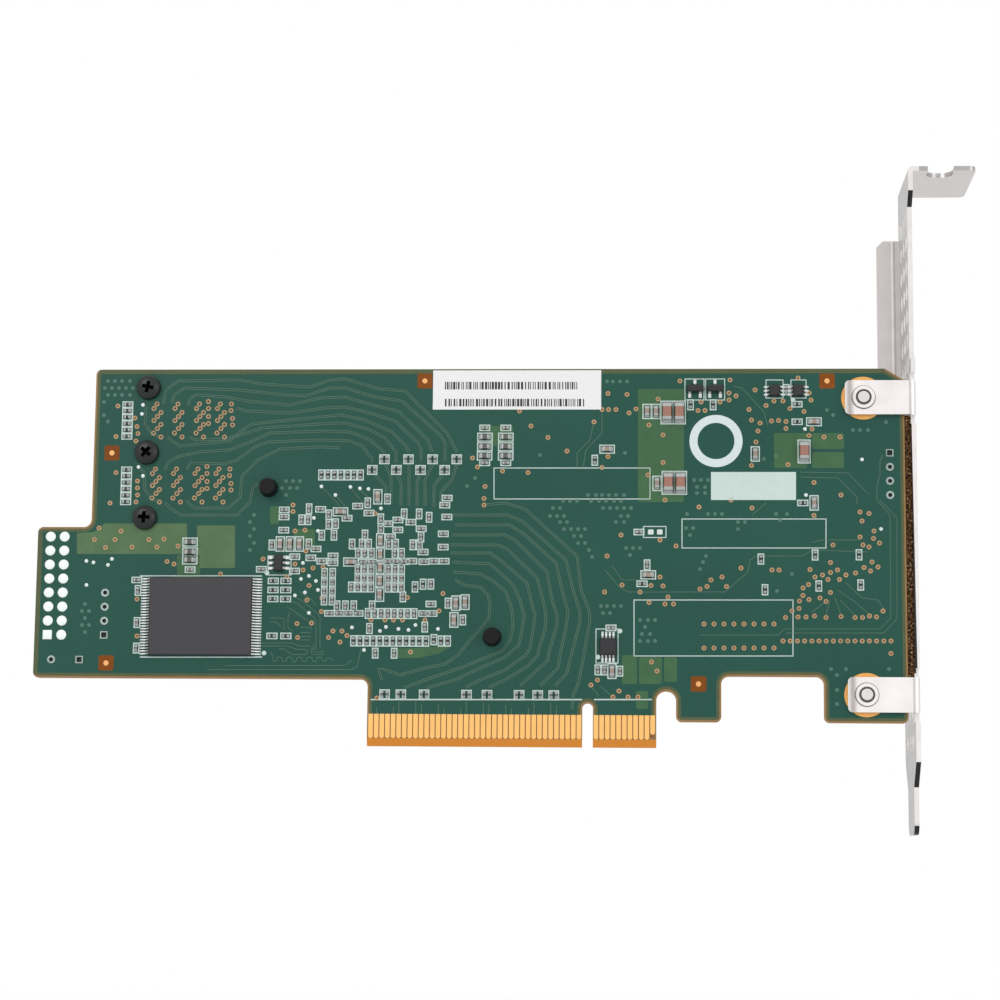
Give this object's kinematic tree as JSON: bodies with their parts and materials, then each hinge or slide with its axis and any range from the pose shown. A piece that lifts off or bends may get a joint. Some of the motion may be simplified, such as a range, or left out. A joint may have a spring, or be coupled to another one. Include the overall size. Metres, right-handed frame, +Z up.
{
  "type": "host bus adapter",
  "caption": "Storage host bus adapter: a green low-profile circuit card with an edge connector, vented steel bracket, internal drive ports and a finned heat sink.",
  "frame": {"origin": "middle of the card's thickness, on the centre line of the edge connector's key notch, at the connector's bottom edge", "axes": "+X along the card to the bracket, +Y from the solder side to the component side, +Z up, away from the slot"},
  "size_m": [0.1693, 0.0202, 0.1201],
  "materials": {
    "laminate": "solder mask, half gloss",
    "gold": "gold plate over nickel",
    "bracket_steel": "bright zinc plate",
    "screw_steel": "nickel plate",
    "black_screw": "black oxide",
    "cast_shell": "cast, nickel plate",
    "black_moulding": "moulded",
    "chip_moulding": "moulded, fine grain",
    "package_laminate": "laminate",
    "tinned_lead": "matt tin",
    "solder": "bright solder",
    "capacitor_ceramic": "matt",
    "resistor_coating": "glass coat",
    "ferrite": "matt",
    "moulded_yellow": "moulded",
    "oscillator_can": "plated lid",
    "sink_aluminium": "extruded, clear anodised",
    "thermal_filler": "matt",
    "nylon": "moulded",
    "spring_steel": "drawn wire",
    "paper": "matt"
  },
  "bodies": {
    "root": {"circuit_board": "laminate", "solder_side_contacts": "gold", "component_side_contacts": "gold", "mounting_bracket": "bracket_steel", "ground_rings": "gold", "bracket_screws": "screw_steel", "port_shell": "cast_shell", "upper_port_insert": "black_moulding", "lower_port_insert": "black_moulding", "upper_port_contacts": "gold", "lower_port_contacts": "gold", "port_screws": "black_screw", "controller_substrate": "package_laminate", "controller_moulding": "chip_moulding", "thermal_pad": "thermal_filler", "heat_sink": "sink_aluminium", "push_pins": "nylon", "push_pin_springs": "spring_steel", "memory_chip": "chip_moulding", "memory_chip_leads": "tinned_lead", "amplifier_chip": "chip_moulding", "amplifier_chip_leads": "tinned_lead", "switch_chip": "chip_moulding", "switch_chip_leads": "tinned_lead", "transistors": "chip_moulding", "transistors_leads": "tinned_lead", "logic_chips": "chip_moulding", "logic_chips_leads": "tinned_lead", "boot_chip": "chip_moulding", "boot_chip_leads": "tinned_lead", "chip_resistors": "resistor_coating", "small_capacitors": "capacitor_ceramic", "medium_capacitors": "capacitor_ceramic", "ferrite_beads": "ferrite", "bulk_capacitors": "capacitor_ceramic", "coupling_capacitors": "capacitor_ceramic", "header_solder": "solder", "power_inductors": "ferrite", "regulator_chips": "chip_moulding", "storage_capacitors": "moulded_yellow", "clock_oscillator": "oscillator_can", "paper_label": "paper"}
  },
  "joints": []
}
